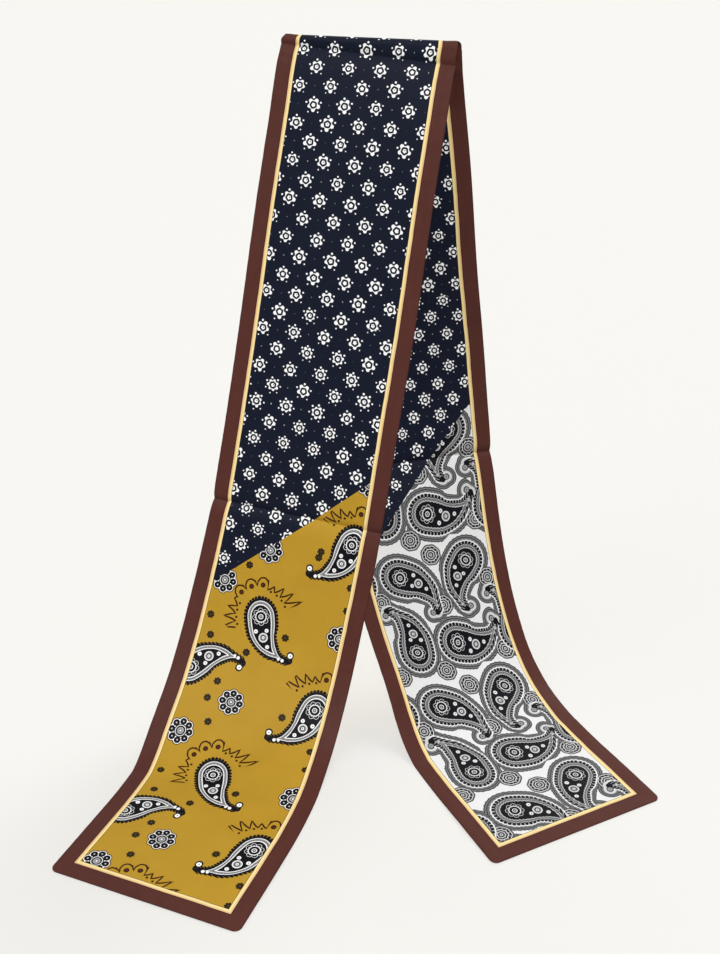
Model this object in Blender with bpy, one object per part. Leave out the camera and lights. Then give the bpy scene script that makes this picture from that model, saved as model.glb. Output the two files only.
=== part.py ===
"""A skinny silk scarf of two printed plies, hung over a slim rail, both tails trailing forward on the floor.

A maker cuts two long strips of silk twill, a face and a reverse, sews them right sides together round the
edge, turns them out through a gap and presses the flat tube. Nothing else is sewn on: the brown border and
the cream line inside it are printed. Each ply is built as the three stretches that show: the front tail,
the short bend over the rail, and the back tail.

The origin is the underside of the fold, midway across, where the rail bears. +X runs along the fold, -Y is
the way that the tails trail, +Z is up. Sizes are in metres.
"""

import math
from collections import namedtuple

import bpy
import numpy as np

MM = 0.001

SCARF_WIDTH = 145 * MM  # pressed width, seam to seam
END_FLARE = 6 * MM  # the ends were pressed this much wider than the middle
CORNER_RADIUS = 7 * MM  # of the four turned-out corners
PLY_WALL = 1.0 * MM
SEAM_GAP = 0.3 * MM  # between the plies
RAIL_GAP = 0.45 * MM  # between the stretch over the rail and each tail, 0.3 mm on the inside of the bend

RAIL_RADIUS = 5 * MM  # of what the fold hangs over
FOLD_HEIGHT = 515 * MM  # from the floor to the underside of the fold

# How each tail leaves the rail, in degrees: forward of upright, and swung to +X.
Leaving = namedtuple("Leaving", "forward swing")

FRONT_LEAVES = Leaving(25, -3)
BACK_LEAVES = Leaving(4, 5)

SQUARING_RUN = 120 * MM  # over this length the sections turn from along the rail to square across the cloth
STATION_STEP = 10 * MM  # between the modelled sections of a tail
CORNER_STATIONS = 4  # extra sections that round an end's corners
RAIL_STATIONS = 16  # sections of the bend over the rail
COLUMNS = 4  # strips across the width

SCARF_WALL = 2 * PLY_WALL + SEAM_GAP
MIDDLE_RADIUS = RAIL_RADIUS + SCARF_WALL / 2  # of the middle of the scarf's wall over the rail
REST = SCARF_WALL / 2  # height of the middle of the wall where the scarf lies on the floor

# A tail is a run of sections, each a straight line across the cloth. A row gives where the middle of one is,
# in millimetres from the rail, with its height from the floor, and how far the section is turned about the
# upright, in degrees, clockwise from above.
Section = namedtuple("Section", "place side forward height turn")

FRONT_TAIL = (
    Section("below the rail", -1, 24, 475, 1),
    Section("upper fall", -4, 53, 408, 1),
    Section("middle fall", -9, 89, 309, 0),
    Section("lower fall", -14, 117, 233, 1),
    Section("quarter crease", -20, 145, 155, -1),
    Section("start of the bend", -26, 170, 97, -4),
    Section("bend", -30, 195, 55, -8),
    Section("bend, low", -32, 226, 24, -13),
    Section("just off the floor", -32, 256, 8, -16),
    Section("touch-down", -30, 290, REST / MM, -6),
    Section("foot", -31, 334, REST / MM, 2),
    Section("end", -38, 416, REST / MM, 5),
)

BACK_TAIL = (
    Section("below the rail", 3, -4, 470, -6),
    Section("upper fall", 10, 0, 418, -11),
    Section("middle fall", 20, 0, 324, -17),
    Section("lower fall", 28, 1, 264, -19),
    Section("start of the bend", 38, 10, 204, -24),
    Section("quarter crease", 52, 28, 149, -31),
    Section("bend", 73, 59, 95, -41),
    Section("bend, low", 100, 96, 48, -51),
    Section("just off the floor", 131, 136, 15, -56),
    Section("touch-down", 161, 174, REST / MM, -45),
    Section("foot", 188, 204, REST / MM, -43),
    Section("end", 241, 259, REST / MM, -45),
)

# Pressed creases right across the cloth, a quarter of its length apart: how far down the tail, how deep the
# soft trough is and how far it reaches to each side, in millimetres.
Crease = namedtuple("Crease", "tail along depth reach")

CREASES = (
    Crease("front", 18, 0.8, 7),
    Crease("front", 387, 1.2, 9),
    Crease("back", 350, 1.2, 9),
)

NAVY = (0.012, 0.015, 0.03, 1.0)
SILK_ROUGHNESS = 0.5


def clear_scene():
    for obj in list(bpy.data.objects):
        bpy.data.objects.remove(obj, do_unlink=True)


def silk(name):
    material = bpy.data.materials.new(name)
    material.use_nodes = True
    shader = material.node_tree.nodes["Principled BSDF"]
    shader.inputs["Base Color"].default_value = NAVY
    shader.inputs["Roughness"].default_value = SILK_ROUGHNESS
    shader.inputs["Metallic"].default_value = 0.0
    return material


def unit(vectors):
    return vectors / np.linalg.norm(vectors, axis=-1, keepdims=True)


def smooth_through(knots, values, start_slope):
    """The cubic spline through these values, leaving with this slope, as a function of the distance."""
    count = len(knots)
    gaps = np.diff(knots)[:, None]
    rises = np.diff(values, axis=0) / gaps
    system = np.eye(count)
    targets = np.zeros_like(values)
    system[0, :2] = 2 * gaps[0, 0], gaps[0, 0]
    targets[0] = 6 * (rises[0] - start_slope)
    for i in range(1, count - 1):
        system[i, i - 1 : i + 2] = gaps[i - 1, 0], 2 * (gaps[i - 1, 0] + gaps[i, 0]), gaps[i, 0]
        targets[i] = 6 * (rises[i] - rises[i - 1])
    bends = np.linalg.solve(system, targets)

    def at(distance):
        i = np.clip(np.searchsorted(knots, distance) - 1, 0, count - 2)
        gap = gaps[i]
        done = (distance - knots[i])[:, None]
        left = gap - done
        curved = (bends[i] * left**3 + bends[i + 1] * done**3) / (6 * gap)
        straight = (values[i] / gap - bends[i] * gap / 6) * left
        return curved + straight + (values[i + 1] / gap - bends[i + 1] * gap / 6) * done

    return at


def on_floor(points):
    """Where the middle of the wall would dip below the floor, the cloth lies on it."""
    return np.maximum(points, [-math.inf, -math.inf, REST - FOLD_HEIGHT])


class Tail:
    """One tail from the rail to its end: its middle line, sections and outward side at any distance down it."""

    def __init__(self, name, rows, leaves, outward):
        self.name = name
        self.outward = outward
        self.rail_angle = math.radians(-outward * leaves.forward)  # where it leaves, up from level
        start = np.array([0, outward * math.cos(self.rail_angle), math.sin(self.rail_angle)])
        start = start * MIDDLE_RADIUS - np.array([0, 0, RAIL_RADIUS])
        swing = math.radians(leaves.swing)
        downward = np.array([0, outward * math.sin(self.rail_angle), -math.cos(self.rail_angle)])
        heading = downward * math.cos(swing) + np.array([math.sin(swing), 0, 0])
        centres = [(row.side * MM, -row.forward * MM, row.height * MM - FOLD_HEIGHT) for row in rows]
        points = np.vstack([start, centres])
        steps = np.linalg.norm(np.diff(points, axis=0), axis=1)
        self.over_rail = MIDDLE_RADIUS * (math.pi / 2 - self.rail_angle)  # from the top of the fold
        knots = np.concatenate([[0], np.cumsum(steps)])
        turns = np.array([0] + [math.radians(row.turn) for row in rows])[:, None]
        self.hanging = knots[-1]
        self.length = self.over_rail + self.hanging
        self.middle_line = smooth_through(knots, points, heading)
        self.turn = smooth_through(knots, turns, np.zeros(1))

    def frames(self, down):
        """Middle points, half-width directions and outward directions at these distances below the rail."""
        middle = on_floor(self.middle_line(down))
        ahead = unit(
            on_floor(self.middle_line(np.minimum(down + MM, self.hanging)))
            - on_floor(self.middle_line(np.maximum(down - MM, 0)))
        )
        turn = self.turn(down)[:, 0]
        level = np.stack([np.cos(turn), -np.sin(turn), np.zeros_like(turn)], axis=1)
        lengthwise = (level * ahead).sum(axis=1, keepdims=True)
        square = unit(level - lengthwise * ahead)
        slant = lengthwise / np.sqrt(1 - lengthwise**2)
        fade = np.clip(1 - down / SQUARING_RUN, 0, 1)[:, None]
        across = square + slant * (fade * fade * (3 - 2 * fade)) * ahead
        outward = self.outward * np.cross(square, ahead)
        for crease in CREASES:
            if crease.tail == self.name:
                offset = (down + self.over_rail - crease.along * MM) / (crease.reach * MM)
                middle = middle - outward * (crease.depth * MM * np.exp(-(offset**2)))[:, None]
        return middle, across, outward

    def half_width(self, down):
        """Half the cloth's width, with the rounded corners at the end."""
        flare = END_FLARE * np.clip((down + self.over_rail) / self.length, 0, 1) ** 2
        inside = np.clip(CORNER_RADIUS - (self.hanging - down), 0, CORNER_RADIUS)
        return (SCARF_WIDTH + flare) / 2 - (CORNER_RADIUS - np.sqrt(CORNER_RADIUS**2 - inside**2))

    def stations(self):
        count = round(self.hanging / STATION_STEP)
        straight = np.linspace(RAIL_GAP, self.hanging - CORNER_RADIUS, count)
        sweep = np.linspace(0, math.pi / 2, CORNER_STATIONS + 1)[1:] * 0.94
        return np.concatenate([straight, self.hanging - CORNER_RADIUS * (1 - np.sin(sweep))])


def over_rail_frames(front, back):
    """The same as a tail's frames, for the bend over the rail, from its front to its back."""
    angles = np.linspace(math.pi - front.rail_angle, back.rail_angle, RAIL_STATIONS)
    outward = np.stack([np.zeros_like(angles), np.cos(angles), np.sin(angles)], axis=1)
    middle = outward * MIDDLE_RADIUS - np.array([0, 0, RAIL_RADIUS])
    ends = [
        np.linalg.norm(tail.frames(np.array([0.0]))[1]) * tail.half_width(np.array([0.0]))[0]
        for tail in (front, back)
    ]
    half = np.linspace(ends[0], ends[1], RAIL_STATIONS)
    across = np.tile([1.0, 0.0, 0.0], (RAIL_STATIONS, 1))
    return middle, across, outward, half


def ply(name, frames, half, side):
    """One stretch of a ply: a sheet beside the middle of the wall, thickened away from it."""
    middle, across, outward = frames
    columns = np.linspace(-1, 1, COLUMNS + 1)
    half_across = (across * half[:, None])[:, None, :]
    wall_middle = on_floor(middle[:, None, :] + columns[None, :, None] * half_across)
    points = wall_middle + (side * SEAM_GAP / 2) * outward[:, None, :]
    rows = len(middle)
    wide = COLUMNS + 1
    towards = np.cross(across[0], middle[1] - middle[0])
    turned = float(np.dot(towards, outward[0])) * side < 0
    faces = []
    for i in range(rows - 1):
        for j in range(COLUMNS):
            a, b = i * wide + j, i * wide + j + 1
            c, d = b + wide, a + wide
            faces += [(a, c, b), (a, d, c)] if turned else [(a, b, c), (a, c, d)]
    mesh = bpy.data.meshes.new(name)
    mesh.from_pydata(points.reshape(-1, 3).tolist(), [], faces)
    mesh.shade_smooth()
    mesh.materials.append(silk(name + "_silk"))
    obj = bpy.data.objects.new(name, mesh)
    bpy.context.scene.collection.objects.link(obj)
    wall = obj.modifiers.new("wall", "SOLIDIFY")
    wall.thickness = PLY_WALL
    wall.offset = 1.0
    return obj


def build_scarf():
    front = Tail("front", FRONT_TAIL, FRONT_LEAVES, outward=-1)
    back = Tail("back", BACK_TAIL, BACK_LEAVES, outward=1)
    rail_middle, rail_across, rail_outward, rail_half = over_rail_frames(front, back)
    for layer, side in (("face", 1), ("reverse", -1)):
        for tail in (front, back):
            down = tail.stations()
            ply(f"{layer}_{tail.name}_tail", tail.frames(down), tail.half_width(down), side)
        ply(f"{layer}_over_rail", (rail_middle, rail_across, rail_outward), rail_half, side)


clear_scene()
build_scarf()
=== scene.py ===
import math
from collections import namedtuple

import bpy
import numpy as np
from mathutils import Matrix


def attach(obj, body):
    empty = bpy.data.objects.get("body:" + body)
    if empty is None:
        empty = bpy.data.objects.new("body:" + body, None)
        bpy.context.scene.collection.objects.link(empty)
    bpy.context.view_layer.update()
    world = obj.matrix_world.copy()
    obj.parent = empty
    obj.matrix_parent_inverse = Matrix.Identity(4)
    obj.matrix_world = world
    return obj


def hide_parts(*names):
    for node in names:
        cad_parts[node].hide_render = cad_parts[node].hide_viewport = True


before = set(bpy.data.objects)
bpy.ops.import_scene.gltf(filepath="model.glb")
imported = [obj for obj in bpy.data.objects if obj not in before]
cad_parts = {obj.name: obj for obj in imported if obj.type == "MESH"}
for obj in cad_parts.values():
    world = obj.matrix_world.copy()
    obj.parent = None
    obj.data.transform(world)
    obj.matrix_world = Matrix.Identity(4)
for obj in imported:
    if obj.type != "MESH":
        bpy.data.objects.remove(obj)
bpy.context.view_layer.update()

MM = 0.001

# ---------------------------------------------------------------------------------------------------------
# Face panel, how it hangs. One long strip of silk twill, sewn to the reverse panel right sides together
# round the edge, turned out and pressed flat, then hung over a slim rail at its middle. Both tails come
# forward and lie on the floor; the cloth still shows where it was folded in quarters for storing.

WIDTH = 145.0  # pressed width at the fold, seam to seam, all in millimetres from here on
END_FLARE = 6.0  # the ends were pressed this much wider
CORNER = 5.5  # radius of the turned-out corners
RAIL = 5.0  # radius of what the fold hangs over
DROP = 515.0  # from the underside of the fold to the floor
BEND = 6.15  # radius of the middle of the cloth over the rail
PRESSED = 0.5  # half the thickness of the pressed scarf where the seam allowance lies in it
OPEN_CLOTH = 0.3  # half the thickness away from the seams, where there are only the two plies
ALLOWANCE = 7.0  # width of the seam allowance turned inside the edge
PLY = 0.15  # thickness of the silk twill
EDGE = 0.08  # half the thickness at the very edge, where one ply turns over into the other
EDGE_ROLL = 0.9  # over this distance from the edge the cloth reaches its thickness
LYING = 12.0  # creases and puckers fade out over this last height above the floor
FRONT_LEAVES, BACK_LEAVES = 25, 4  # how far forward each tail leans as it leaves the rail, in degrees
SQUARING = 120.0  # over this length the sections turn from along the rail to square across the cloth

# Each row is the middle of a straight section across the scarf: its place in millimetres from the rail, its
# height above the floor, and its turn about the upright in degrees, clockwise from above. The rows are read
# off a strip that was fitted to the photo's outline, and rounded to whole millimetres and degrees.
Section = namedtuple("Section", "place side forward height turn")

FRONT_TAIL = (
    Section("below the rail", -1, 24, 475, 1),
    Section("upper fall", -4, 53, 408, 1),
    Section("middle fall", -9, 89, 309, 0),
    Section("lower fall", -14, 117, 233, 1),
    Section("quarter crease", -20, 145, 155, -1),
    Section("start of the bend", -26, 170, 97, -4),
    Section("bend", -30, 195, 55, -8),
    Section("bend, low", -32, 226, 24, -13),
    Section("just off the floor", -32, 256, 8, -16),
    Section("touch-down", -30, 290, PRESSED, -6),
    Section("foot", -31, 334, PRESSED, 2),
    Section("end", -38, 416, PRESSED, 5),
)

BACK_TAIL = (
    Section("below the rail", 3, -4, 470, -6),
    Section("upper fall", 10, 0, 418, -11),
    Section("middle fall", 20, 0, 324, -17),
    Section("lower fall", 28, 1, 264, -19),
    Section("start of the bend", 38, 10, 204, -24),
    Section("quarter crease", 52, 28, 149, -31),
    Section("bend", 73, 59, 95, -41),
    Section("bend, low", 100, 96, 48, -51),
    Section("just off the floor", 131, 136, 15, -56),
    Section("touch-down", 161, 174, PRESSED, -45),
    Section("foot", 188, 204, PRESSED, -43),
    Section("end", 241, 259, PRESSED, -45),
)

# Troughs (depth above 0) and ridges (below 0) in the hanging cloth: x across and y down from the top of the
# fold, which way the line of the trough leans from straight across in degrees, how deep it is, how far it
# reaches to each side of its line and how long it runs. A pressed one comes to a line and draws the edges in.
Crease = namedtuple("Crease", "tail x y lean depth reach run pressed")

CREASES = (
    Crease("front", 0, 14.5, 4.5, 3.6, 5.5, 200, 1),  # pressed in while it lay folded, like the next two
    Crease("front", 0, 383.5, -1, 3.5, 6, 200, 1),
    Crease("back", 0, 360, 1, -4.2, 6, 200, 1),
    Crease("front", 10, 394, 1, -0.5, 9, 200, 0),
    Crease("back", 10, 371, -1, -0.5, 9, 200, 0),
    Crease("back", 0, 24, 2, 0.7, 6, 200, 0),
    Crease("front", 38, 120, 72, 0.5, 16, 75, 0),
    Crease("front", -30, 200, 96, -0.6, 18, 90, 0),
    Crease("front", 20, 300, 84, 0.5, 20, 80, 0),
    Crease("front", -42, 470, 70, 0.5, 15, 60, 0),
    Crease("front", 25, 520, 100, -0.6, 22, 90, 0),
    Crease("back", -25, 130, 84, 0.7, 18, 90, 0),
    Crease("back", 30, 240, 98, -0.6, 18, 80, 0),
    Crease("back", 20, 450, 76, 0.6, 18, 70, 0),
    Crease("back", -35, 520, 95, -0.5, 18, 60, 0),
)


def unit(vectors):
    return vectors / np.linalg.norm(vectors, axis=-1, keepdims=True)


def smooth_through(knots, values, start_slope):
    """The cubic spline through these values, leaving with this slope, as a function of the distance."""
    count = len(knots)
    gaps = np.diff(knots)[:, None]
    rises = np.diff(values, axis=0) / gaps
    system = np.eye(count)
    targets = np.zeros_like(values)
    system[0, :2] = 2 * gaps[0, 0], gaps[0, 0]
    targets[0] = 6 * (rises[0] - start_slope)
    for i in range(1, count - 1):
        system[i, i - 1 : i + 2] = gaps[i - 1, 0], 2 * (gaps[i - 1, 0] + gaps[i, 0]), gaps[i, 0]
        targets[i] = 6 * (rises[i] - rises[i - 1])
    bends = np.linalg.solve(system, targets)

    def at(distance):
        i = np.clip(np.searchsorted(knots, distance) - 1, 0, count - 2)
        gap = gaps[i]
        done = (distance - knots[i])[:, None]
        left = gap - done
        curved = (bends[i] * left**3 + bends[i + 1] * done**3) / (6 * gap)
        straight = (values[i] / gap - bends[i] * gap / 6) * left
        return curved + straight + (values[i + 1] / gap - bends[i + 1] * gap / 6) * done

    return at


def on_floor(points):
    return np.maximum(points, [-math.inf, -math.inf, PRESSED - DROP])


class Tail:
    """One tail from the rail to its end: its middle line and sections at any distance down it."""

    def __init__(self, rows, forward, swing, outward):
        self.outward = outward
        self.rail_angle = math.radians(-outward * forward)
        up = np.array([0, outward * math.cos(self.rail_angle), math.sin(self.rail_angle)])
        down = np.array([0, outward * math.sin(self.rail_angle), -math.cos(self.rail_angle)])
        swing = math.radians(swing)
        heading = down * math.cos(swing) + np.array([math.sin(swing), 0, 0])
        points = np.vstack([
            up * BEND - np.array([0, 0, RAIL]),
            [(row.side, -row.forward, row.height - DROP) for row in rows],
        ])
        knots = np.concatenate([[0], np.cumsum(np.linalg.norm(np.diff(points, axis=0), axis=1))])
        turns = np.array([0] + [math.radians(row.turn) for row in rows])[:, None]
        self.over_rail = BEND * (math.pi / 2 - self.rail_angle)  # from the top of the fold
        self.hanging = knots[-1]
        self.length = self.over_rail + self.hanging
        self.middle_line = smooth_through(knots, points, heading)
        self.turn = smooth_through(knots, turns, np.zeros(1))

    def sections(self, down):
        """Middle points, directions across and outward directions at these distances below the rail."""
        middle = on_floor(self.middle_line(down))
        ahead = unit(
            on_floor(self.middle_line(np.minimum(down + 1, self.hanging)))
            - on_floor(self.middle_line(np.maximum(down - 1, 0)))
        )
        turn = self.turn(down)[:, 0]
        level = np.stack([np.cos(turn), -np.sin(turn), np.zeros_like(turn)], axis=1)
        lengthwise = (level * ahead).sum(axis=1, keepdims=True)
        square = unit(level - lengthwise * ahead)
        slant = lengthwise / np.sqrt(1 - lengthwise**2)
        fade = np.clip(1 - down / SQUARING, 0, 1)[:, None]
        across = square + slant * (fade * fade * (3 - 2 * fade)) * ahead
        return middle, across, self.outward * np.cross(square, ahead)


front = Tail(FRONT_TAIL, forward=FRONT_LEAVES, swing=-3, outward=-1)
back = Tail(BACK_TAIL, forward=BACK_LEAVES, swing=5, outward=1)

# Lines of the mesh: close together where the edge rolls over and the seam allowance steps down.
ROLL = np.array([0, 0.12, 0.4, 0.9, 1.6, 2.5, 3.6, 4.8, 6.0, 6.7, 7.3, 8.0, 9.2, 11.0])
MIDDLE_COLUMNS = 34
ROW_STEP = 3.2
FINE_STEP, FINE_RUN = 0.75, 30  # rows just below the rail, and how far they go
END_RUN = 14  # the last stretch, which has the roll's own rows
CREASE_RUN = 11  # closer rows go this far to each side of a pressed crease


def rows_down(tail, name):
    """Distances below the rail of the mesh's rows, from the rail to the end, closer together at creases."""
    near = np.arange(0, FINE_RUN, FINE_STEP)
    last = tail.hanging - END_RUN
    rest = np.linspace(FINE_RUN, last, round((last - FINE_RUN) / ROW_STEP))
    for crease in CREASES:
        if crease.tail == name and crease.pressed and crease.y > FINE_RUN:
            down = crease.y - tail.over_rail
            close = np.concatenate([
                np.arange(1 - CREASE_RUN, -3), np.arange(-3, 3, 0.5), np.arange(3, CREASE_RUN),
            ])
            above, below = rest[rest < down - CREASE_RUN], rest[rest > down + CREASE_RUN]
            rest = np.concatenate([above, down + close, below])
    return np.concatenate([near, rest, tail.hanging - ROLL[::-1]])


def whole_strip():
    """Middle points, across, outward, distance from the top of the fold (front below 0) and from its end."""
    down_front, down_back = rows_down(front, "front")[::-1], rows_down(back, "back")[1:]
    up_front, down_behind = np.linspace(180 - FRONT_LEAVES, 90, 12), np.linspace(90, -BACK_LEAVES, 17)
    angles = np.radians(np.concatenate([up_front[1:], down_behind[1:]]))
    rail_outward = np.stack([0 * angles, np.cos(angles), np.sin(angles)], axis=1)
    over_rail = (
        rail_outward * BEND - np.array([0, 0, RAIL]),
        np.tile([1.0, 0.0, 0.0], (len(angles), 1)),
        rail_outward,
    )
    joined = [
        np.concatenate(parts)
        for parts in zip(front.sections(down_front), over_rail, back.sections(down_back))
    ]
    along = np.concatenate([
        -(down_front + front.over_rail),
        BEND * (math.pi / 2 - angles),
        down_back + back.over_rail,
    ])
    length = np.where(along < 0, front.length, back.length)
    return *joined, along, length


def crease_depth(tail, x, y):
    depth = np.zeros_like(x)
    for crease in CREASES:
        if crease.tail == tail:
            lean = math.radians(crease.lean)
            run = (x - crease.x) * math.cos(lean) + (y - crease.y) * math.sin(lean)
            off = (y - crease.y) * math.cos(lean) - (x - crease.x) * math.sin(lean)
            away = (off / crease.reach) ** 2
            if crease.pressed:  # steeper from the fold's side, eased out below
                away = np.hypot(off / (crease.reach * np.where(off < 0, 0.75, 1.5)), 0.1)
                depth += 0.22 * crease.depth * np.exp(-np.hypot(off / 1.4, 0.25))
            depth += crease.depth * np.exp(-away - (run / crease.run) ** 4)
    return depth


def drawn_in(along):
    """How much narrower the scarf hangs, to each side, at the fold and at the pressed creases."""
    narrower = 2.3 * np.exp(-((along / 3.5) ** 2))  # the fold's own corners are round
    for crease in CREASES:
        if crease.pressed:
            at = crease.y if crease.tail == "back" else -crease.y
            narrower += 0.9 * np.exp(-np.hypot((along - at) / 8, 0.15))
    return narrower


def puckers(x, y, inside, seed):
    """The small uneven gathers that the seam's thread draws into the edge."""
    chance = np.random.default_rng(seed)
    drawn = np.zeros_like(x)
    for wave, height in ((9, 0.10), (14, 0.14), (23, 0.14), (41, 0.2)):
        for side in (-1, 1):
            phase, drift = chance.uniform(0, 2 * math.pi), chance.uniform(0.85, 1.15)
            on_side = np.clip(0.5 + side * x / 10, 0, 1)
            swell = 0.6 + 0.4 * np.sin(y / 61 + phase)
            along_wave = 2 * math.pi * y / (wave * drift)
            drawn += height * on_side * swell * np.sin(along_wave + phase + inside * 0.12)
    return drawn * np.exp(-((inside - 5) / 9) ** 2)


def panel(name, side):
    """One panel as it hangs: the face lies outside the bend (side 1), the reverse inside it (side -1)."""
    middle, across, outward, along, length = whole_strip()
    y = np.abs(along)
    to_end = length - y
    straight_half = (WIDTH + END_FLARE * (y / length) ** 2) / 2
    cut_corner = np.clip(CORNER - to_end, 0, CORNER)
    half = straight_half - (CORNER - np.sqrt(np.maximum(CORNER**2 - cut_corner**2, 0)))
    inner = half - ROLL[-1]
    columns = np.concatenate([
        -(half[:, None] - ROLL[None, :]),
        inner[:, None] * np.linspace(-1, 1, MIDDLE_COLUMNS + 1)[None, 1:-1],
        (half[:, None] - ROLL[None, :])[:, ::-1],
    ], axis=1)
    to_edge = np.abs(columns / half[:, None]) ** 3  # the middle is hardly drawn in
    narrowed = columns * (1 - drawn_in(along)[:, None] * to_edge / half[:, None])
    y, to_end = y[:, None] + 0 * columns, to_end[:, None] + 0 * columns
    from_side = straight_half[:, None] - np.abs(columns)
    round_corner = CORNER - np.hypot(np.maximum(CORNER - from_side, 0), np.maximum(CORNER - to_end, 0))
    inside = np.where((from_side < CORNER) & (to_end < CORNER), round_corner, np.minimum(from_side, to_end))
    inside = np.maximum(inside, 0)
    rolled = np.sqrt(1 - (1 - np.clip(inside / EDGE_ROLL, 0, 1)) ** 2)
    stepped = 1 / (1 + np.exp((inside - ALLOWANCE) * 2.2))
    thick = EDGE + (OPEN_CLOTH + (PRESSED - OPEN_CLOTH) * stepped - EDGE) * rolled
    lift = puckers(columns, along[:, None] + 0 * columns, inside, seed=3)
    in_front = along[:, None] < 0
    sunk = np.where(in_front, crease_depth("front", columns, y), crease_depth("back", columns, y))
    standing = np.clip((middle[:, 2] + DROP - PRESSED) / LYING, 0, 1)[:, None]
    lift = lift * (0.35 + 0.65 * standing) - sunk * standing
    points = middle[:, None, :] + narrowed[..., None] * across[:, None, :]
    points = points + (lift + side * thick)[..., None] * outward[:, None, :]
    points = np.maximum(points, [-math.inf, -math.inf, PLY * 1.1 - DROP])
    rows, wide = columns.shape
    index = np.arange(rows * wide).reshape(rows, wide)
    corners = [index[:-1, :-1], index[:-1, 1:], index[1:, 1:], index[1:, :-1]]
    if side < 0:
        corners = corners[::-1]
    faces = np.stack(corners, axis=-1).reshape(-1, 4)
    mesh = bpy.data.meshes.new(name)
    mesh.from_pydata((points.reshape(-1, 3) * MM).tolist(), [], faces.tolist())
    mesh.shade_smooth()
    # The print is laid out from the top of the fold towards each end, right way up on both sides.
    layout = mesh.uv_layers.new(name="cloth")
    signed = np.stack([columns.ravel(), np.broadcast_to(along[:, None], columns.shape).ravel()], axis=1)
    on_front = (signed[faces, 1].mean(axis=1) < 0)[:, None]
    x = np.where(on_front, side * signed[faces, 0], -side * signed[faces, 0])
    layout.uv.foreach_set("vector", (np.stack([x, np.abs(signed[faces, 1])], axis=-1) * MM).ravel())
    mesh.polygons.foreach_set("material_index", (~on_front[:, 0]).astype(np.int32))
    piece = bpy.data.objects.new(name, mesh)
    bpy.context.scene.collection.objects.link(piece)
    wall = piece.modifiers.new("ply", "SOLIDIFY")
    wall.thickness = PLY * MM
    wall.offset = -1.0
    return piece


# ---------------------------------------------------------------------------------------------------------
# Face panel, the dyes. The print is screened on in flat colours: a navy ground down to a slanting line,
# mustard below it on one half and white on the other, a brown border and a cream line inside it.


def dye(red, green, blue):
    """A dye's colour as it looks on a screen, 0 to 255, turned into the light that it gives back."""
    back = [c / 255 for c in (red, green, blue)]
    return tuple(c / 12.92 if c < 0.04045 else ((c + 0.055) / 1.055) ** 2.4 for c in back) + (1.0,)


NAVY = dye(17, 22, 38)
BLACK = dye(14, 15, 20)
WHITE = dye(247, 247, 247)
PALE = dye(222, 222, 222)
MUSTARD = dye(172, 134, 38)
BROWN = dye(87, 48, 41)
# a dark brown: printed as the line inside the border, and also used for painted shade at the rolled edge and
# for the dark streaks of painted sheen along the border
DARK_BROWN_AND_PAINTED_SHADE = dye(66, 35, 30)
CREAM = dye(240, 216, 152)
CREAM_SHADE = dye(222, 186, 134)
OUTLINE_BROWN = dye(58, 26, 8)


class Reading:
    """One quantity read off the cloth at each point. It wraps a socket, so that sums are written as sums."""

    def __init__(self, silk, socket):
        self.silk, self.socket = silk, socket

    def work(self, operation, *others, clamp=False):
        return self.silk.add("ShaderNodeMath", {"operation": operation, "use_clamp": clamp}, [self, *others])

    def __add__(self, other):
        return self.work("ADD", other)

    def __sub__(self, other):
        return self.work("SUBTRACT", other)

    def __mul__(self, other):
        return self.work("MULTIPLY", other)

    def __truediv__(self, other):
        return self.work("DIVIDE", other)

    def __rsub__(self, other):
        return self.silk.add("ShaderNodeMath", {"operation": "SUBTRACT"}, [other, self])

    def __rtruediv__(self, other):
        return self.silk.add("ShaderNodeMath", {"operation": "DIVIDE"}, [other, self])

    def __neg__(self):
        return self.work("MULTIPLY", -1)

    def __abs__(self):
        return self.work("ABSOLUTE")

    def __and__(self, other):  # where both masks are, or the lower of two values
        return self.work("MINIMUM", other)

    def __or__(self, other):  # where either mask is, or the higher of two values
        return self.work("MAXIMUM", other)

    __radd__, __rmul__ = __add__, __mul__

    def below(self, edge, bleed):
        """Mask of where this is below the edge, with the dye bled over it by this much."""
        return self.work("MULTIPLY_ADD", -1 / bleed, edge / bleed + 0.5, clamp=True)

    def above(self, edge, bleed):
        return self.work("MULTIPLY_ADD", 1 / bleed, 0.5 - edge / bleed, clamp=True)

    def near(self, value, half, bleed):
        return abs(self - value).below(half, bleed)


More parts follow.
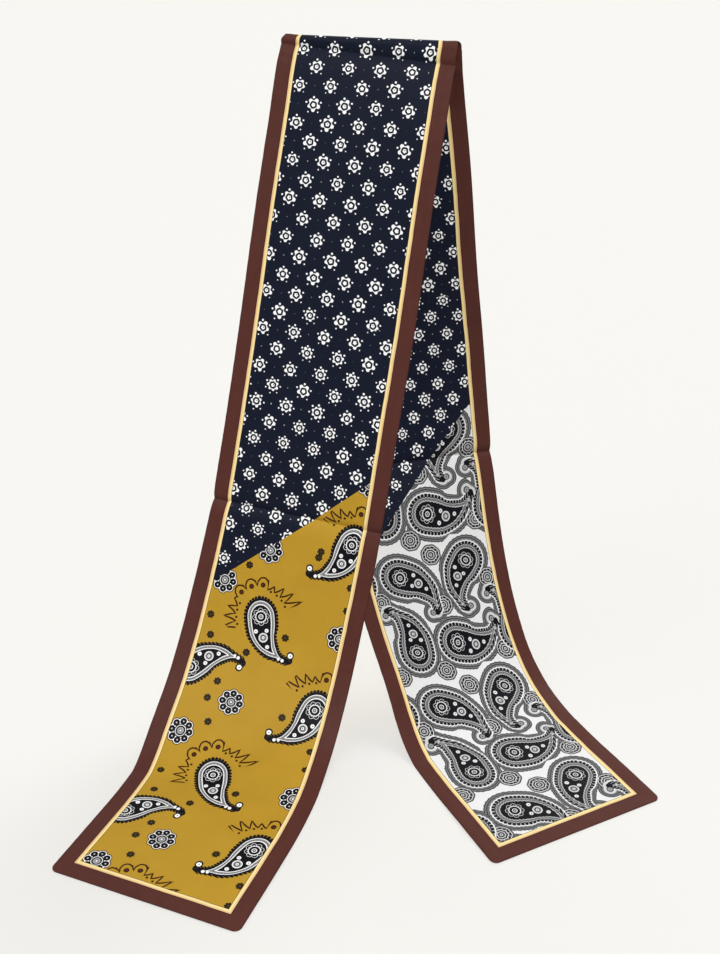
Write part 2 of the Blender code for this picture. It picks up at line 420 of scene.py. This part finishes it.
class Silk:
    """A printed silk: its node tree, and the ways of reading a place on the cloth."""

    def __init__(self, name):
        self.material = bpy.data.materials.new(name)
        self.material.use_nodes = True
        self.tree = self.material.node_tree
        self.shader = self.tree.nodes["Principled BSDF"]
        place = self.add("ShaderNodeUVMap", {"uv_map": "cloth"}, [])
        in_millimetres = {"Vector": place, "Scale": 1 / MM}
        self.place = self.add("ShaderNodeVectorMath", {"operation": "SCALE"}, in_millimetres)
        self.x, self.y = self.parts(self.place)

    def add(self, kind, settings, inputs, out=0):
        """Adds a node of this kind: its settings first, then the values or links of its sockets."""
        node = self.tree.nodes.new(kind)
        for setting, value in settings.items():
            if callable(value):
                value(getattr(node, setting))
            else:
                setattr(node, setting, value)
        pairs = inputs.items() if isinstance(inputs, dict) else enumerate(inputs)
        for socket, value in pairs:
            if isinstance(value, Reading):
                self.tree.links.new(value.socket, node.inputs[socket])
            else:
                node.inputs[socket].default_value = value
        return Reading(self, node.outputs[out])

    def parts(self, vector):
        first = self.add("ShaderNodeSeparateXYZ", {}, [vector])
        return first, Reading(self, first.socket.node.outputs[1])

    def hypot(self, x, y):
        return self.add("ShaderNodeVectorMath", {"operation": "LENGTH"}, [self.joined(x, y)], out="Value")

    def joined(self, x, y):
        return self.add("ShaderNodeCombineXYZ", {}, [x, y])

    def angle(self, x, y):
        """Angle in radians, clockwise on the cloth from straight towards the fold."""
        return self.add("ShaderNodeMath", {"operation": "ARCTAN2"}, [x, -y])

    def distance(self, vector, x, y):
        return self.add("ShaderNodeVectorMath", {"operation": "DISTANCE"}, [vector, (x, y, 0.0)], out="Value")

    def choose(self, mask, without, with_it):
        """One place or another, by a mask."""
        return self.add("ShaderNodeMix", {"data_type": "VECTOR"}, {0: mask, 4: without, 5: with_it}, out=1)

    def over(self, base, mask, dye_colour):
        """Screens a dye over what is there."""
        return self.add("ShaderNodeMix", {"data_type": "RGBA"}, {0: mask, 6: base, 7: dye_colour}, out=2)

    def chance(self, vector, offset):
        drawn_by = {"Vector": vector, "W": offset}
        return self.add("ShaderNodeTexWhiteNoise", {"noise_dimensions": "4D"}, drawn_by, out="Value")

    def noise(self, size, detail=2.0, stretch=(1.0, 1.0, 1.0)):
        scale = tuple(s / size for s in stretch)
        spread = self.add("ShaderNodeMapping", {}, {"Vector": self.place, "Scale": scale})
        settings = {"Vector": spread, "Scale": 1.0, "Detail": detail}
        return self.add("ShaderNodeTexNoise", {"noise_dimensions": "2D"}, settings)

    def folded(self, turn, half):
        """An angle folded into one share of a rosette, from -half to half."""
        return self.add("ShaderNodeMath", {"operation": "WRAP"}, [turn, half, -half])

    def curve(self, value, points, floor, top):
        """A drawn curve: what it gives at value, through these points, with a corner at each tip."""
        low, high = points[0][0], points[-1][0]
        share = (value - low) / (high - low)

        def draw(mapping):
            line = mapping.curves[0]
            scaled = [((p[0] - low) / (high - low), (p[1] - floor) / (top - floor)) for p in points]
            line.points[0].location, line.points[1].location = scaled[0], scaled[-1]
            for spot in scaled[1:-1]:
                line.points.new(*spot)
            for point, drawn in zip(line.points, points):
                point.handle_type = "VECTOR" if len(drawn) == 3 else "AUTO_CLAMPED"
            mapping.update()

        drawn = self.add("ShaderNodeFloatCurve", {"mapping": draw}, {"Value": share})
        return drawn * (top - floor) + floor

    def bands(self, value, top, stops):
        """Flat bands of tone, 0 black to 1 white: each stop is where a band starts and its tone."""

        def draw(ramp):
            ramp.interpolation = "CONSTANT"
            for at, tone in stops[2:]:
                ramp.elements.new(at / top)
            for element, (at, tone) in zip(ramp.elements, stops):
                element.position = at / top
                element.color = (tone**2.2, tone**2.2, tone**2.2, 1.0)

        return self.add("ShaderNodeValToRGB", {"color_ramp": draw}, [value / top])


# ---------------------------------------------------------------------------------------------------------
# Face panel, the navy ground. Small white flowers of five petals, or seven further down, stand in a half-drop
# lattice, each with a ring, an eye and a dot between its petals. No two are cut quite alike.

FRONT_LATTICE = dict(x=-14, y=117, across=26, down=30, lean=0.06, rise=0.0)
BACK_LATTICE = dict(x=42, y=249, across=24, down=29, lean=0.0, rise=0.06)
JOINED_AT = (-3, -25)  # column and row of the front lattice that the back one counts as its first
CELL_ACROSS, CELL_DOWN = 13.0, 14.8  # from one flower to the next, the size that each is drawn for


def lattice(x, y, chart):
    """Column and row numbers of a place, counted in half spacings."""
    column = (x - y * chart["lean"] - chart["x"]) * (2 / chart["across"])
    row = (y - x * chart["rise"] - chart["y"]) * (2 / chart["down"])
    return column, row


def flowers(silk, column, row, turned):
    """Mask of the white flowers."""
    spot = silk.joined((column + row) * 0.5 + 0.5, (column - row) * 0.5 + 0.5)
    cell = silk.add("ShaderNodeVectorMath", {"operation": "FLOOR"}, [spot])
    rising, falling = silk.parts(silk.add("ShaderNodeVectorMath", {"operation": "SUBTRACT"}, [spot, cell]))
    rising, falling = rising - 0.5, falling - 0.5
    flip = 1.0 if turned is None else 1 - 2 * turned
    x, y = (rising + falling) * (CELL_ACROSS * flip), (rising - falling) * (CELL_DOWN * flip)
    luck, luck2, luck3 = (silk.chance(cell, w) for w in (0.3, 1.7, 2.9))
    x, y = x + (luck - 0.5) * 0.7, y + (luck2 - 0.5) * 0.7
    reach = silk.hypot(x, y) * (0.97 + 0.12 * luck3)
    lobes = 5.0 + 2 * (luck2 * silk.y.above(215, 60)).above(0.45, 0.01)
    turn = silk.angle(x, y) + math.pi + (luck - 0.5) * 0.35
    half_lobe = math.pi / lobes
    folded = silk.folded(turn, half_lobe)
    number = ((turn - folded) / (2 * half_lobe)).work("ROUND").work("FLOORED_MODULO", lobes)
    cut = silk.chance(cell, number * 1.37 + 5.0)  # each petal is cut a little differently
    petal = silk.hypot(reach * folded.work("SINE"), reach * folded.work("COSINE") - (3.6 + 0.6 * cut))
    petal_size = 6.6 / lobes + 0.3 * cut
    between = half_lobe - abs(folded)
    lower = (turn - math.pi).work("COSINE")
    dot = silk.hypot(reach * between.work("SINE"), reach * between.work("COSINE") - (6.5 - 0.5 * lower))
    body = (petal - petal_size).below(0, 0.25) | reach.below(3.7, 0.25)
    white = body | (dot - 0.16 * lower).below(0.72 - 0.15 * luck3, 0.25)
    ring = (reach + 0.16 * (lobes * turn + 9 * luck3).work("COSINE")).near(2.3, 0.8, 0.2)
    eye = silk.hypot(x - 0.5 * luck, y + 0.3).below(0.5, 0.3) * (luck2.above(0.35, 0.2) * 0.9)
    to_speck = silk.hypot(abs(x) - CELL_ACROSS, y) & silk.hypot(x, abs(y) - CELL_DOWN)
    specks = to_speck.below(0.4, 0.3) * (0.7 * luck * luck * luck)
    return (white * (1 - (ring | eye))) | specks


# ---------------------------------------------------------------------------------------------------------
# Face panel, the larger motifs. Bent teardrops and rosettes lie on the mustard and on the white ground, with
# sprigs and leafy crowns on the mustard only.

# Each row charts one motif of the repeat: where it sits, which way its tail leaves the head (turn, in degrees
# from straight down), which way it curls, how often it comes, whether it has a crown and how fat it is.
Motif = namedtuple("Motif", "x y turn curl every crowned fat")

ONCE = 900  # stands for every in a motif that comes only once, and is longer than either half
CROWN_MARK = 0.01  # a third number carried along with the place, which says that its motif has a crown

MUSTARD_TEARDROPS = (
    Motif(-11, 471, -18, 1, 137, 1, 1),
    Motif(51, 534, 16, -1, 138, 1, 1),
    Motif(-58, 524, -136, -1, 144, 0, 1),
)
MUSTARD_ROSETTES = (
    (57, 473, 144), (-17, 544, 142), (-49, 576, 147), (-15, 416, ONCE), (-48, 449, ONCE), (57, 345, ONCE),
)
MUSTARD_SPRIGS = (
    (-53, 479, 133), (-49, 495, 142), (13, 483, 140), (-16, 502, 141), (-33, 530, 143), (-37, 545, 144),
    (-30, 564, 144), (27, 546, 139), (57, 568, 138), (-30, 432, ONCE), (26, 412, ONCE), (58, 587, 138),
)

WHITE_TEARDROPS = (
    Motif(-31, 460, -68, -1, 119, 0, 1.06),
    Motif(34, 453, 42, 1, 116, 0, 1.06),
    Motif(6, 408, -74, 1, 116, 0, 1.2),
    Motif(-35, 527, -172, 1, 120, 0, 1.06),
    Motif(66, 522, -172, 1, 113, 0, 1.06),
    Motif(-71, 463, 42, 1, 120, 0, 1.06),
)
WHITE_ROSETTES = (
    (-14, 429, 118), (2, 444, 119), (3, 372, 117), (-54, 479, 118), (52, 471, 116), (50, 418, 118),
    (-57, 428, 119),
)

# Half-widths of a teardrop down its bent spine, outside and inside its beaded and feathered edge.
OUTSIDE = ((-30, 14.5), (0, 14.5), (10, 14), (20, 11), (30, 8), (40, 4), (46, 3.5), (49, 0))
INSIDE = ((-30, 7.5), (0, 7.5), (10, 7), (20, 5), (30, 0.5), (40, -4), (49, -8))
STRAIGHT, BENT = 10, 30  # the spine is straight this far below the head's centre, then bends at this radius
HEAD = 15  # radius of the head
BAND_WIDTH = 7.4  # width of the edge's bands
WIDER = 1.8  # the teardrops on the white ground reach this much further out

# The leafy crown drawn round a head, in runs of like shapes: where a run starts in degrees from straight up,
# the sweep of each shape in it, how far the notches and tips reach from the head's centre, how much further
# each tip reaches than the last, whether the tips are pointed, and the size of the dot in each.
CrownRun = namedtuple("CrownRun", "name start sweep count notch tip grow pointed dot")

CROWN_RUNS = (
    CrownRun("left leaves", -110, 16, 4, 22, 33, -2, True, 0.8),
    CrownRun("scallops", -46, 22, 3, 26, 32, 0, False, 1.9),
    CrownRun("right leaves", 20, 15, 4, 23, 27, 3, True, 0.8),
)


def leafy_crown():
    """The crown's outline, as its reach at each angle, and its dots as places and sizes."""
    outline, dots = [], []
    for run in CROWN_RUNS:
        for i in range(run.count):
            start, tip = run.start + i * run.sweep, run.tip + i * run.grow
            outline.append((start, run.notch, "tip"))
            if run.pointed:
                outline.append((start + run.sweep * 0.3, run.notch + (tip - run.notch) * 0.3))
                outline.append((start + run.sweep * 0.65, tip, "tip"))
            else:
                for share, rise in ((0.2, 0.7), (0.5, 1.0), (0.8, 0.7)):
                    outline.append((start + run.sweep * share, run.notch + (tip - run.notch) * rise))
            middle = math.radians(start + run.sweep / 2)
            reach = run.notch - (1 if run.pointed else 0)
            dots.append((reach * math.sin(middle), -reach * math.cos(middle), run.dot))
        end = run.start + run.count * run.sweep
    outline.append((end, run.notch))
    return outline, dots


CROWN, CROWN_DOTS = leafy_crown()


def repeated(silk, y, every):
    """The place, moved by whole repeats to the one that is centred on y."""
    corners = {1: (ONCE, y + every / 2, 1.0), 2: (-ONCE, y - every / 2, -1.0)}
    return silk.add("ShaderNodeVectorMath", {"operation": "WRAP"}, {0: silk.place, **corners})


def nearest(silk, chart, outlines):
    """The place as seen from the nearest motif of the chart: x and y from its centre, tail downwards."""
    here = best = None
    for motif in chart:
        repeat = repeated(silk, motif.y, motif.every)
        local = silk.add(
            "ShaderNodeMapping",
            {"vector_type": "TEXTURE"},
            {
                "Vector": repeat,
                "Location": (motif.x, motif.y, -CROWN_MARK * motif.crowned),
                "Rotation": (0.0, 0.0, math.radians(motif.turn)),
                "Scale": (float(motif.curl * motif.fat), 1.0, 1.0),
            },
        )
        away = None
        for x, y, radius in outlines:
            gap = silk.distance(local, x, y) - radius
            away = gap if away is None else away & gap
        if here is None:
            here, best = local, away
        else:
            here = silk.choose((best - away).above(0, 0.001), here, local)
            best = best & away
    return here


def nearest_round(silk, chart):
    """The same for round motifs, which need no turning."""
    here = best = None
    for x, y, every in chart:
        repeat = repeated(silk, y, every)
        local = silk.add("ShaderNodeVectorMath", {"operation": "SUBTRACT"}, [repeat, (x, y, 0.0)])
        away = silk.add("ShaderNodeVectorMath", {"operation": "LENGTH"}, [local], out="Value")
        if here is None:
            here, best = local, away
        else:
            here = silk.choose((best - away).above(0, 0.001), here, local)
            best = best & away
    return here, best


LOOPS_AT, LOOP, ROSETTE = 7.4, 3.1, 10.5  # a rosette's loops: their centres' reach, radius, and tops' reach


def rosette(silk, place, reach):
    """A rosette of eight loops: its tone, and how far outside its scalloped edge a place is."""
    x, y = silk.parts(place)
    out = silk.hypot(x, y) * (ROSETTE / reach)
    folded = silk.folded(silk.angle(x, y), math.pi / 8)
    loop = silk.hypot(out * folded.work("SINE"), out * folded.work("COSINE") - LOOPS_AT)
    rings = silk.bands(out, 12, ((0, 0.95), (0.8, 0.2), (1.4, 0.65), (2.7, 0.05), (3.8, 0.9), (4.5, 0.0)))
    loops = silk.bands(loop, 12, ((0, 0.8), (0.6, 0.0), (2.65, 1.0)))
    outer = out.above(5.3, 0.3)
    tone = rings * (1 - outer) + loops * outer
    return tone, (loop - LOOP) * (reach / ROSETTE)


def teardrop(silk, place):
    """Where a place is in a teardrop: its share of the way through the edge bands, its depth inside the
    outline, its distance along the outline, and x and y from the head's centre."""
    x, y = silk.parts(place)
    low = (y - STRAIGHT) | 0
    bent = silk.add("ShaderNodeMath", {"operation": "ARCTAN2"}, [low, BENT - x])
    from_bend = silk.hypot(BENT - x, low)
    along = (y & STRAIGHT) + BENT * bent
    aside = BENT - from_bend
    above = (along & 0) * 0.86
    spread = silk.hypot(aside, above)
    outside = silk.curve(along, OUTSIDE, 0, 16)
    inside = silk.curve(along, INSIDE, -8, 8)
    depth = outside - spread
    share = depth / (outside - inside)
    round_head = silk.add("ShaderNodeMath", {"operation": "ARCTAN2"}, [-above, abs(aside)])
    outline = ((y & STRAIGHT) | 0) + bent * from_bend - HEAD * round_head
    return share, depth, outline, x, y


def filling(silk, place):
    """What is drawn inside a teardrop: a rosette in the head, a ring and small flowers."""
    tone, out = rosette(silk, place, 7.2)
    reach = silk.hypot(*silk.parts(place))
    inner = silk.bands(reach, 12, ((0, 0.9), (0.5, 0.1), (1.3, 0.9), (2.1, 0.0), (4.0, 0.97), (4.8, 0.0)))
    near_centre = reach.below(4.8, 0.2)
    tone = (inner * near_centre) | (tone * (1 - near_centre) * out.below(0, 0.2))
    from_ring = silk.distance(place, 0.6, 17.2)
    tone = tone | silk.bands(
        from_ring, 12, ((0, 0.15), (0.45, 0.95), (1.3, 0.2), (2.1, 0.6), (3.0, 0.95), (3.8, 0.0))
    )
    for side, down, size in ((-5.2, 11.6, 1.7), (3.9, 11.8, 1.6), (3.4, 25.0, 1.6)):
        gap = silk.distance(place, side, down)
        tone = tone | (gap.below(size, 0.3) * gap.above(0.45, 0.3))
    return tone


def beads(silk, place):
    """White beads down the hook, and the mask of the black hook round the last one."""
    white = silk.distance(place, 12.0, 35.6).below(1.1, 0.3)
    white = white | silk.distance(place, 15.1, 37.0).below(1.35, 0.3)
    last = silk.distance(place, 22.0, 34.0) & silk.distance(place, 22.2, 33.4)
    hook = (last - 3.0) & (silk.distance(place, 20.6, 37.6) - 3.1)
    gap = silk.distance(place, 22.1, 33.8)
    return white | (gap.below(2.0, 0.3) * gap.above(0.5, 0.3)), hook


def mustard_print(silk):
    ground = silk.over(MUSTARD, silk.noise(34) * 0.6, dye(190, 151, 48))
    place = nearest(silk, MUSTARD_TEARDROPS, ((0, 0, 14.7), (6, 27, 8), (20, 36, 4), (0, -14, 17)))
    share, depth, outline, x, y = teardrop(silk, place)
    # crown
    around = silk.angle(x, y) * (180 / math.pi)
    reach = silk.hypot(x, y)
    drawn = silk.curve(around, CROWN, 0, 40)
    drawn_on = silk.curve(around + 1.0, CROWN, 0, 40)
    steep = (drawn_on - drawn) * (180 / math.pi) / drawn
    off_line = abs(reach - drawn) / (1 + steep * steep).work("SQRT")  # measured square to the line
    first, last = CROWN[0][0], CROWN[-1][0]
    in_sweep = around.near((first + last) / 2, (last - first) / 2 - 2, 0.5)
    crowned = silk.add("ShaderNodeSeparateXYZ", {}, [place], out=2).above(CROWN_MARK / 2, CROWN_MARK / 10)
    dots = None
    for side, down, size in CROWN_DOTS:
        gap = silk.distance(place, side, down) - size
        dots = gap if dots is None else dots & gap
    crown = (off_line.below(0.66, 0.25) * in_sweep | dots.below(0.2, 0.3)) * crowned
    colour = silk.over(ground, crown, OUTLINE_BROWN)
    colour = silk.over(colour, dots.below(-0.9, 0.4) * crowned * 0.7, BROWN)
    # sprigs
    spot, away = nearest_round(silk, MUSTARD_SPRIGS)
    sx, sy = silk.parts(spot)
    folded = silk.folded(silk.angle(sx, sy), math.pi / 7)
    petals = silk.hypot(away * folded.work("SINE"), away * folded.work("COSINE") - 2.2)
    sprig = petals.below(1.05, 0.25) | away.near(0.9, 0.65, 0.3)
    colour = silk.over(colour, sprig * 0.96, BLACK)
    # rosettes
    spot, away = nearest_round(silk, MUSTARD_ROSETTES)
    tone, out = rosette(silk, spot, 10.5)
    out = out & (away - 9)
    colour = silk.over(colour, out.below(0.8, 0.2), OUTLINE_BROWN)
    colour = silk.over(colour, out.below(0.1, 0.15), silk.over(BLACK, tone, WHITE))
    # teardrops
    bead_wave = (outline * (2 * math.pi / 2.9)).work("COSINE")
    hook_beads, hook = beads(silk, place)
    edge = (depth + bead_wave * 0.42 - 0.05) | -hook
    specks = bead_wave.below(-0.85, 0.15) * depth.near(1.1, 0.3, 0.3)
    feather = (outline * (2 * math.pi / 1.9) + depth * 2.2).work("SINE") * 0.5 + 0.5
    bands = silk.bands(
        share, 1.2,
        (
            (0, 0.02), (0.43, 0.3), (0.46, 0.95), (0.55, 0.35),
            (0.58, 0.62), (0.74, 0.15), (0.79, 0.97), (0.91, 0.0),
        ),
    )
    hatched = bands * (1 - share.near(0.67, 0.1, 0.05) * feather * 0.55)
    interior = share.above(1.0, 0.04)
    tone = (hatched * (1 - interior)) + filling(silk, place) * interior
    tone = tone * (1 - hook.below(0, 0.2)) | hook_beads
    ink = silk.over(BLACK, tone, WHITE)
    return silk.over(colour, edge.above(0, 0.2) * (1 - specks), ink)


def white_print(silk):
    place = nearest(silk, WHITE_TEARDROPS, ((0, 0, 16), (6, 27, 9.5), (20, 36, 5)))
    share, depth, outline, *_ = teardrop(silk, place)
    hook_beads, hook = beads(silk, place)
    bead_wave = (outline * (2 * math.pi / 3.1)).work("COSINE")
    depth = ((depth + 0.2 * bead_wave) | -hook) + WIDER
    spot, away = nearest_round(silk, WHITE_ROSETTES)
    sx, sy = silk.parts(spot)
    lobed = away + 0.2 * (8 * silk.angle(sx, sy)).work("COSINE")
    rosette_out = lobed - 9.5
    # thin contour lines follow the teardrops' outlines on the white ground
    contour = (depth * (2 * math.pi / 1.75)).work("COSINE") * 0.5 + 0.5
    tone = 1 - (0.74 + 0.24 * contour) * depth.above(-4.0, 0.25)
    # rosettes
    rings = silk.bands(
        lobed, 12,
        (
            (0, 0.2), (0.6, 0.9), (1.3, 0.2), (2.6, 0.85), (3.5, 0.12), (4.7, 0.92), (5.5, 0.1), (7.5, 0.92),
            (8.2, 0.15), (8.7, 0.5), (9.1, 0.15),
        ),
    )
    marks = (12 * silk.angle(sx, sy)).work("SINE").above(0.5, 0.4) * away.near(6.2, 0.6, 0.3) * 0.4
    in_rosette = rosette_out.below(0, 0.2)
    tone = tone * (1 - in_rosette) + (rings | marks) * in_rosette
    # teardrops
    share = (share * BAND_WIDTH + WIDER) / (BAND_WIDTH + WIDER)
    scalloped = share + bead_wave * 0.03
    bands = silk.bands(
        scalloped, 1.2,
        (
            (0, 0.9), (0.02, 1.0), (0.13, 0.05), (0.43, 0.08), (0.45, 0.9), (0.5, 0.2), (0.55, 0.55),
            (0.63, 0.2), (0.68, 0.85), (0.77, 0.0),
        ),
    )
    nicks = bead_wave.below(-0.75, 0.3) * share.near(0.27, 0.11, 0.06) * 0.5
    interior = share.above(0.8, 0.04)
    drop = (bands | nicks) * (1 - interior) + filling(silk, place) * interior
    drop = drop * (1 - hook.below(-0.4, 0.3)) | (hook_beads * 0.4)
    in_drop = depth.above(0, 0.2)
    tone = tone * (1 - in_drop) + drop * in_drop
    return silk.over(BLACK, tone, PALE)


# ---------------------------------------------------------------------------------------------------------
# Face panel, the finished silk of each half: the slanting line between the grounds, the cream line and the
# brown border, with painted sheen in streaks and painted shade at the rolled edge, and the twill's fine
# diagonal rib, which breaks the sheen, with painted shade in the hollows between its ribs.

LENGTHS = dict(front=front.length, back=back.length)
BORDER = 12.3  # width of the brown border
LINE = 3.4  # width of the cream line inside it
# The slanting line on each half: its slope, and how far down it crosses the middle of the scarf.
Slant = namedtuple("Slant", "slope middle")
SLANTS = dict(front=Slant(0.94, 398), back=Slant(1.094, 378.3))
RIB = 0.62  # from one rib of the twill to the next
RIB_HEIGHT = 0.08 * MM


def printed_silk(name, tail):
    silk = Silk(name)
    x, y = silk.x, silk.y
    wander = (silk.noise(45) - 0.5) * 0.9
    if tail == "front":
        column, row = lattice(x, y, FRONT_LATTICE)
        white = flowers(silk, column, row, None)
        block = mustard_print(silk)
    else:
        column0, row0 = lattice(-x, -y, FRONT_LATTICE)
        column1, row1 = lattice(x, y, BACK_LATTICE)
        # the front half's flowers carry on over the fold, then give way to the back half's
        between = {"Value": y, "From Min": 4.0, "From Max": 90.0}
        share = silk.add("ShaderNodeMapRange", {"interpolation_type": "SMOOTHSTEP"}, between)
        column = (JOINED_AT[0] - column0) * (1 - share) + column1 * share
        row = (JOINED_AT[1] - row0) * (1 - share) + row1 * share
        white = flowers(silk, column, row, y.below(11.5, 0.1))
        block = white_print(silk)
    slant = y + x * SLANTS[tail].slope - SLANTS[tail].middle + wander
    ground = silk.over(NAVY, silk.noise(60) * 0.4, dye(24, 29, 44))
    navy = silk.over(ground, white, WHITE)
    colour = silk.over(navy, slant.above(0, 0.25), block)
    # border and line, mitred at the corners
    length = LENGTHS[tail]
    share = y / length
    half = share * share * (END_FLARE / 2) + WIDTH / 2
    inside = (half - abs(x)) & (length - y)
    inside = inside + (silk.noise(18) - 0.5) * 0.5
    colour = silk.over(colour, inside.below(BORDER + LINE + 0.35, 0.2), BLACK)
    colour = silk.over(colour, inside.below(BORDER + LINE, 0.2), CREAM)
    colour = silk.over(colour, inside.below(BORDER + LINE * 0.45, 0.6), CREAM_SHADE)
    colour = silk.over(colour, inside.below(BORDER + 0.3, 0.25), DARK_BROWN_AND_PAINTED_SHADE)
    # painted sheen: streaks along the border, between the brown and a darker brown, stand in for the satin's
    # sheen
    brown = silk.over(BROWN, silk.noise(9, stretch=(1.0, 0.35, 1.0)) * 0.45, DARK_BROWN_AND_PAINTED_SHADE)
    colour = silk.over(colour, inside.below(BORDER - 0.5, 0.7), brown)
    # painted shade: the last millimetre or so at the cut edge, where the cloth rolls over, is darkened
    colour = silk.over(colour, inside.below(0.7, 1.2) * 0.6, DARK_BROWN_AND_PAINTED_SHADE)
    # twill
    rib = ((x + y * 1.05) * (2 * math.pi / RIB)).work("SINE") * 0.5 + 0.5
    slub = silk.noise(1.6, detail=3.0, stretch=(1.0, 0.3, 1.0))
    weave = rib * (0.55 + 0.45 * slub)
    # painted shade: the colour is darkened in the hollows between the twill's ribs, unevenly with the
    # thread's slubs
    colour = silk.over(colour, (1 - weave) * 0.14, BLACK)
    bump = silk.add("ShaderNodeBump", {}, {"Strength": 0.35, "Distance": RIB_HEIGHT, "Height": weave})
    shader = silk.shader
    silk.tree.links.new(colour.socket, shader.inputs["Base Color"])
    silk.tree.links.new(bump.socket, shader.inputs["Normal"])
    rough = 0.46 + 0.1 * silk.noise(28)
    silk.tree.links.new(rough.socket, shader.inputs["Roughness"])
    shader.inputs["Specular IOR Level"].default_value = 0.07
    return silk.material


navy_and_mustard = printed_silk("printed_silk_navy_and_mustard", "front")
navy_and_white = printed_silk("printed_silk_navy_and_white", "back")

face_panel = panel("face_panel", side=1)
face_panel.data.materials.append(navy_and_mustard)
face_panel.data.materials.append(navy_and_white)
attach(face_panel, "root")
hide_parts("face_front_tail", "face_over_rail", "face_back_tail")

# ---------------------------------------------------------------------------------------------------------
# Reverse panel: a second strip with the same print, right side out, ends matched with the face panel's. It
# is the one that shows on the back tail, whose inside faces forward.

reverse_panel = panel("reverse_panel", side=-1)
reverse_panel.data.materials.append(navy_and_mustard)
reverse_panel.data.materials.append(navy_and_white)
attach(reverse_panel, "root")
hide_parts("reverse_front_tail", "reverse_over_rail", "reverse_back_tail")

# ---------------------------------------------------------------------------------------------------------
# Where it stands: a plain pale floor under plain soft studio light, seen from the front and above.

bpy.ops.mesh.primitive_plane_add(size=40, location=(0, 0, -DROP * MM))
floor = bpy.context.object
floor.name = "floor"
pale = bpy.data.materials.new("pale_floor")
pale.use_nodes = True
pale_shader = pale.node_tree.nodes["Principled BSDF"]
pale_shader.inputs["Base Color"].default_value = (0.68, 0.673, 0.648, 1.0)
pale_shader.inputs["Roughness"].default_value = 0.9
pale_shader.inputs["Specular IOR Level"].default_value = 0.1
floor.data.materials.append(pale)

world = bpy.data.worlds.new("studio")
world.use_nodes = True
backdrop = world.node_tree.nodes["Background"]
backdrop.inputs["Color"].default_value = (0.94, 0.932, 0.9, 1.0)
room = world.node_tree.nodes.new("ShaderNodeBackground")
room.inputs["Color"].default_value = (1.0, 0.995, 0.975, 1.0)
room.inputs["Strength"].default_value = 0.2
seen = world.node_tree.nodes.new("ShaderNodeLightPath")
either = world.node_tree.nodes.new("ShaderNodeMixShader")
world.node_tree.links.new(seen.outputs["Is Camera Ray"], either.inputs[0])
world.node_tree.links.new(room.outputs[0], either.inputs[1])
world.node_tree.links.new(backdrop.outputs[0], either.inputs[2])
world.node_tree.links.new(either.outputs[0], world.node_tree.nodes["World Output"].inputs["Surface"])
bpy.context.scene.world = world

for name, energy, spread, tilt, turn, shadow in (
    ("softbox_behind", 0.8, 30, 52, 165, True),
    ("softbox_left", 0.3, 45, 50, -60, True),
    ("front_fill", 3.05, 40, 28, 6, False),
    ("back_fill", 0.7, 60, 60, 190, False),
):
    lamp = bpy.data.lights.new(name, "SUN")
    lamp.energy = energy
    lamp.angle = math.radians(spread)
    lamp.use_shadow = shadow
    lamp_object = bpy.data.objects.new(name, lamp)
    lamp_object.rotation_euler = (math.radians(tilt), 0, math.radians(turn))
    bpy.context.scene.collection.objects.link(lamp_object)

camera = bpy.data.cameras.new("camera")
camera.sensor_fit = "VERTICAL"
camera.sensor_height = 36
camera.lens = 47.19
camera_object = bpy.data.objects.new("camera", camera)
camera_object.location = (0.2929, -0.9831, 0.1313)
camera_object.rotation_euler = (math.radians(63.42), 0, math.radians(17))
bpy.context.scene.collection.objects.link(camera_object)
bpy.context.scene.camera = camera_object
bpy.context.scene.view_settings.view_transform = "Standard"
